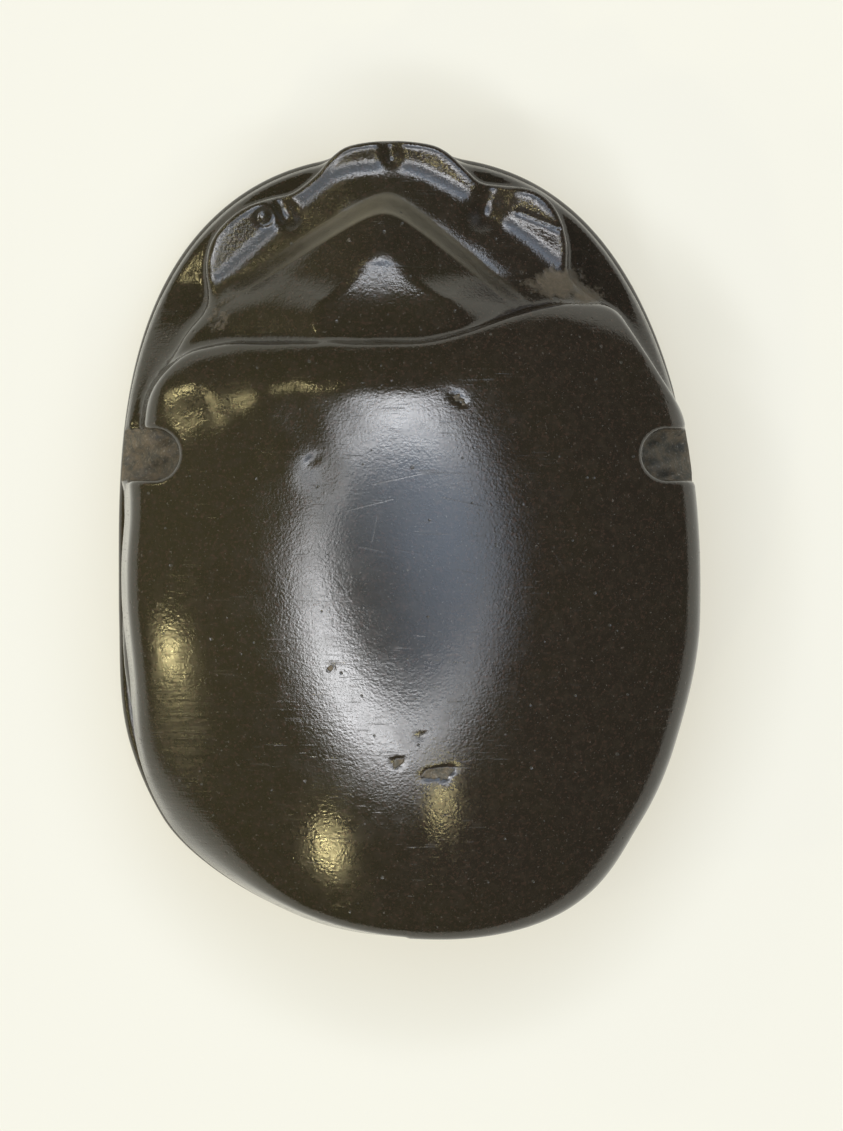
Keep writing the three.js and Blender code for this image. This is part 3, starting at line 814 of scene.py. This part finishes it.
def make_stone(stone):
    """Dark polished stone: uneven polish, small pits, fine scratches and soil in the hollows."""
    material = bpy.data.materials.new("polished_dark_stone")
    material.use_nodes = True
    nodes = Nodes(material.node_tree)
    place = nodes.add("ShaderNodeTexCoord").outputs["Object"]
    in_mm = nodes.add("ShaderNodeMapping", {"Vector": place, "Scale": (1 / MM,) * 3}).outputs[0]
    split = nodes.add("ShaderNodeSeparateXYZ", {0: in_mm}).outputs

    broad = nodes.noise(in_mm, 0.35, 3.0)
    grain = nodes.noise(in_mm, 3.2, 4.0, 0.6)
    speck = nodes.noise(in_mm, 9.0, 2.0, 0.7)
    fine = nodes.noise(in_mm, 12.0, 2.0, 0.6)
    # Left side lighter and more olive: partly the stone's own tone, partly painted warm light from the left
    side = nodes.span(split[0], across(-0.5), across(0.35))
    side = nodes.math("ADD", side, nodes.span(broad, 0.35, 0.65, -0.25, 0.25), clamp=True)
    base = nodes.blend(side, tuple(stone.olive_and_painted_light), tuple(stone.dark))
    lighter = tuple(min(1, 1.6 * part) for part in stone.dark[:3]) + (1,)
    base = nodes.blend(nodes.span(grain, 0.45, 0.72, 0, 0.7), base, lighter)
    base = nodes.blend(nodes.span(speck, 0.54, 0.68, 0, 0.6), base, SPECK_COLOR)
    base = nodes.blend(nodes.span(fine, 0.665, 0.73, 0, 0.6), base, PALE_SPECK_COLOR)
    # Paler colour on the chevron's riser: partly dust, partly painted reflection off its steep wall
    dust_and_sheen_mark = nodes.mark("dust_and_sheen")
    dust_and_sheen = nodes.math("MULTIPLY", dust_and_sheen_mark, nodes.span(grain, 0.3, 0.65, 0.7, 1.0), clamp=True)
    base = nodes.blend(dust_and_sheen, base, DUST_AND_SHEEN_COLOR)
    soil_edge = nodes.math("ADD", nodes.mark("soil"), nodes.span(grain, 0.3, 0.7, -0.28, 0.28))
    soil = nodes.span(soil_edge, 0.30, 0.75)
    soil_color = nodes.blend(nodes.span(speck, 0.35, 0.7), tuple(stone.soil), PALE_SOIL_COLOR)
    color = nodes.blend(soil, base, soil_color)
    grit_edge = nodes.math("ADD", nodes.mark("grit"), nodes.span(grain, 0.3, 0.7, -0.25, 0.25))
    grit = nodes.span(grit_edge, 0.35, 0.65)
    grit_color = nodes.blend(nodes.span(grain, 0.38, 0.62), GRIT_COLOR, BROWN_GRIT_COLOR)
    grit_color = nodes.blend(nodes.span(fine, 0.58, 0.72), grit_color, PALE_GRIT_COLOR)
    color = nodes.blend(grit, color, grit_color)
    head = nodes.mark("head")

    # Scratches in three directions, in patches
    scratches = 0.0
    patches = nodes.span(nodes.noise(in_mm, 0.8, 2.0), 0.45, 0.6)
    for turn, start, width in SCRATCH_TURNS:
        turned = nodes.add("ShaderNodeMapping", {
            "Vector": in_mm, "Rotation": (0, 0, turn), "Scale": (0.8, width, 0.6)}).outputs[0]
        line = nodes.span(nodes.noise(turned, 1.0, 1.0), start, start + 0.05)
        scratches = nodes.math("MAXIMUM", nodes.math("MULTIPLY", line, patches), scratches)
    for start, end, width in SCRATCHES:
        scratches = nodes.math("MAXIMUM", nodes.stroke(in_mm, start, end, width), scratches)

    # Small round holes in the polish
    cells = nodes.add("ShaderNodeTexVoronoi", {"Vector": in_mm, "Scale": 1.9})
    reach = nodes.span(nodes.noise(in_mm, 1.7, 0.0), 0.4, 0.7, 0.03, 0.12)
    holes = nodes.math("DIVIDE", cells.outputs["Distance"], reach)
    holes = nodes.math("SUBTRACT", 1.0, nodes.span(holes, 0.6, 1.1))
    color = nodes.blend(nodes.math("MULTIPLY", holes, 0.7), color, HOLE_COLOR)

    # File marks on the flat of the left flank
    filed = nodes.math("MULTIPLY", nodes.span(split[0], across(-0.56), across(-0.74)),
                       nodes.span(split[1], along(-0.15), along(-0.24)))
    turned = nodes.add("ShaderNodeMapping", {
        "Vector": in_mm, "Rotation": (0, 0, 0.5), "Scale": (0.5, 7.0, 0.5)}).outputs[0]
    file_marks = nodes.math("MULTIPLY", nodes.noise(turned, 1.0, 3.0, 0.6), filed)

    dull = nodes.span(nodes.noise(in_mm, 1.1, 5.0, 0.65), 0.35, 0.7, 0, 0.09)
    rough = nodes.math("ADD", dull, stone.roughness)
    relief = nodes.math("MULTIPLY", fine, 0.30)
    # What lies on the stone or is cut into it: how much it dulls the polish, its grain and its relief
    marks = (
        (soil, 0.55, grain, 2.2),
        (dust_and_sheen, 0.5, fine, 0.3),
        (grit, 0.6, speck, 4.0),
        (filed, 0.12, fine, 0.2),
        (head, 0.06, speck, 0.8),
        (scratches, 0.12, 1.0, -0.10),
        (holes, 0.3, 1.0, -0.7),
    )
    for mark, dulling, surface, height in marks:
        rough = nodes.math("ADD", rough, nodes.math("MULTIPLY", mark, dulling))
        raised = nodes.math("MULTIPLY", mark, nodes.math("MULTIPLY", surface, height))
        relief = nodes.math("ADD", relief, raised)
    relief = nodes.math("ADD", relief, nodes.math("MULTIPLY", nodes.noise(in_mm, 4.0, 2.0, 0.5), 0.16))
    relief = nodes.math("ADD", relief, nodes.math("MULTIPLY", file_marks, 1.6))
    bump = nodes.add("ShaderNodeBump", {"Height": relief, "Strength": 0.5, "Distance": 0.03 * MM}).outputs[0]

    shader = nodes.add("ShaderNodeBsdfPrincipled", {"Base Color": color, "Roughness": rough, "Normal": bump})
    shader.inputs["IOR"].default_value = stone.refraction
    output = nodes.add("ShaderNodeOutputMaterial")
    nodes.tree.links.new(shader.outputs[0], output.inputs["Surface"])
    return material


class SCARAB_OT_carve(bpy.types.Operator):
    """Carve the scarab: the fine surface, its pits and the soil in its hollows"""

    bl_idname = "scarab.carve"
    bl_label = "Carve the scarab"

    def execute(self, context):
        carving = context.scene.scarab_carving
        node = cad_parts[NODE]
        mesh = shape_mesh("scarab_carved", node, carving.voxel)
        write_points(mesh, settle(read_points(mesh), carving.rounds)[0])
        refine(mesh)
        write_points(mesh, settle(read_points(mesh), 1)[0])
        ease(mesh)
        points, outward = settle(read_points(mesh), 2)
        write_points(mesh, points)
        paint_soil(mesh, points, outward)
        flatten_underside(mesh)
        mesh.materials.clear()
        mesh.materials.append(make_stone(context.scene.scarab_stone))
        piece = link_object("scarab_carved", mesh)
        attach(piece, BODY)
        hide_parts(NODE)
        return {"FINISHED"}


def make_floor(color, glow_color, glow):
    bm = bmesh.new()
    bmesh.ops.create_grid(bm, x_segments=1, y_segments=1, size=1.5)
    mesh = bpy.data.meshes.new("floor")
    bm.to_mesh(mesh)
    bm.free()
    material = bpy.data.materials.new("pale_floor")
    material.use_nodes = True
    shader = material.node_tree.nodes["Principled BSDF"]
    shader.inputs["Base Color"].default_value = tuple(color)
    shader.inputs["Roughness"].default_value = 0.9
    shader.inputs["Emission Color"].default_value = tuple(glow_color)
    shader.inputs["Emission Strength"].default_value = glow
    mesh.materials.append(material)
    floor = link_object("floor", mesh)


def make_camera(distance):
    data = bpy.data.cameras.new("camera")
    camera = link_object("camera", data)
    frame_height = PHOTO_HEIGHT / PIXELS_PER_MM * MM
    data.sensor_width = CAMERA_SENSOR
    data.lens = CAMERA_SENSOR * distance / frame_height
    data.clip_start = 0.01
    data.clip_end = 10
    x = (PHOTO_WIDTH / 2 - ORIGIN_PIXEL[0]) / PIXELS_PER_MM * MM
    y = (ORIGIN_PIXEL[1] - PHOTO_HEIGHT / 2) / PIXELS_PER_MM * MM
    camera.location = (x, y, distance)
    bpy.context.scene.camera = camera


# The light comes from a pale screen round the lens, a ring of lamps round that, and warm lamps in the room.
# Angles are in degrees: from straight up, and round from the right.
SCREEN_COLOR = (0.62, 0.77, 1.0)
SCREEN_LIGHT = 2.0
SCREEN_SLOPE = 4.4
SCREEN_TURN = 40
SCREEN_EDGE = (21, 34)
RING_COLOR = (0.96, 0.97, 1.0)
RING_LIGHT = 18.0
RING_ANGLE = 28.0
RING_SPREAD = 3.8
RING_ARCS = ((232, 2.0, 1.1), (90, 6.0, 0.85))
ROOM_COLOR = (1.0, 0.92, 0.75)
ROOM_LIGHT = 0.07
WARM_COLOR = (1.0, 0.86, 0.42)
# Warm lamps: turn, angle from straight up, spread and strength
WARM_LAMPS = (
    (243, 49, 1.3, 130.0),
    (289, 38, 1.2, 62.0),
    (194, 64, 1.4, 95.0),
    (125, 48, 1.0, 60.0),
    (147, 58, 1.0, 60.0),
    (152, 70, 1.2, 70.0),
    (170, 70, 40.0, 0.18),
)


def light_direction(turn, angle):
    turn, angle = math.radians(turn), math.radians(angle)
    return (math.sin(angle) * math.cos(turn), math.sin(angle) * math.sin(turn), math.cos(angle))


def make_light():
    world = bpy.data.worlds.new("light_tent")
    world.use_nodes = True
    bpy.context.scene.world = world
    nodes = Nodes(world.node_tree)
    toward = nodes.add("ShaderNodeTexCoord").outputs["Generated"]
    parts = nodes.add("ShaderNodeSeparateXYZ", {0: toward}).outputs

    def facing(direction):
        return nodes.dot(toward, direction)

    def fall(off, rate):
        return nodes.math("EXPONENT", nodes.math("MULTIPLY", off, -rate))

    angle = nodes.math("MULTIPLY", nodes.math("ARCCOSINE", parts[2]), 180 / math.pi)
    flat = nodes.add("ShaderNodeCombineXYZ", {0: parts[0], 1: parts[1]}).outputs[0]
    round_way = nodes.add("ShaderNodeVectorMath", {0: flat}, operation="NORMALIZE").outputs[0]

    off_ring = nodes.math("DIVIDE", nodes.math("SUBTRACT", angle, RING_ANGLE), RING_SPREAD)
    ring = fall(nodes.math("MULTIPLY", off_ring, off_ring), 1.0)
    arcs = 0.0
    for turn, rate, strength in RING_ARCS:
        off_arc = nodes.math("SUBTRACT", 1.0, nodes.dot(round_way, light_direction(turn, 90)))
        arc = nodes.math("MULTIPLY", fall(off_arc, rate), strength)
        arcs = nodes.math("ADD", arc, arcs)
    ring = nodes.math("MULTIPLY", nodes.math("MULTIPLY", ring, arcs), RING_LIGHT)

    slope = nodes.math("MULTIPLY", facing(light_direction(SCREEN_TURN, 90)), SCREEN_SLOPE)
    inside_edge = nodes.span(angle, *SCREEN_EDGE, 1.0, 0.0)
    screen = nodes.math("MULTIPLY", nodes.math("ADD", slope, SCREEN_LIGHT), inside_edge)

    warm = 0.0
    for turn, tilt, spread, strength in WARM_LAMPS:
        off = nodes.math("SUBTRACT", 1.0, facing(light_direction(turn, tilt)))
        lamp = fall(off, 1 / (1 - math.cos(math.radians(spread))))
        warm = nodes.math("ADD", nodes.math("MULTIPLY", lamp, strength), warm)

    shader = None
    output = nodes.add("ShaderNodeOutputWorld")
    for color, strength in (
            (SCREEN_COLOR, screen), (RING_COLOR, ring), (WARM_COLOR, warm), (ROOM_COLOR, ROOM_LIGHT)):
        part = nodes.add("ShaderNodeBackground", {"Color": color + (1,), "Strength": strength}).outputs[0]
        shader = part if shader is None else nodes.add("ShaderNodeAddShader", {0: shader, 1: part}).outputs[0]
    nodes.tree.links.new(shader, output.inputs["Surface"])


class SCARAB_OT_stage(bpy.types.Operator):
    """Set the stage: pale floor, soft overhead light and the camera straight above"""

    bl_idname = "scarab.stage"
    bl_label = "Set the stage"

    def execute(self, context):
        stage = context.scene.scarab_stage
        make_floor(stage.floor_color, stage.glow_color, stage.glow)
        make_camera(stage.distance)
        make_light()
        context.scene.view_settings.view_transform = "Standard"
        return {"FINISHED"}


class SCARAB_PT_panel(bpy.types.Panel):
    """Sizes, stone and stage of the scarab"""

    bl_idname = "SCARAB_PT_panel"
    bl_label = "Carved stone scarab"
    bl_space_type = "VIEW_3D"
    bl_region_type = "UI"
    bl_category = "Scarab"

    def draw(self, context):
        for group in ("scarab_carving", "scarab_stone", "scarab_stage"):
            box = self.layout.box()
            settings = getattr(context.scene, group)
            for name in settings.__annotations__:
                box.prop(settings, name)
        self.layout.operator(SCARAB_OT_carve.bl_idname)
        self.layout.operator(SCARAB_OT_stage.bl_idname)


CLASSES = (ScarabCarving, ScarabStone, ScarabStage, SCARAB_OT_carve, SCARAB_OT_stage, SCARAB_PT_panel)


def register():
    for kind in CLASSES:
        bpy.utils.register_class(kind)
    bpy.types.Scene.scarab_carving = bpy.props.PointerProperty(type=ScarabCarving)
    bpy.types.Scene.scarab_stone = bpy.props.PointerProperty(type=ScarabStone)
    bpy.types.Scene.scarab_stage = bpy.props.PointerProperty(type=ScarabStage)


def unregister():
    for name in ("scarab_carving", "scarab_stone", "scarab_stage"):
        delattr(bpy.types.Scene, name)
    for kind in reversed(CLASSES):
        bpy.utils.unregister_class(kind)


def main():
    register()
    bpy.ops.scarab.carve()
    bpy.ops.scarab.stage()


if __name__ == "__main__":
    main()
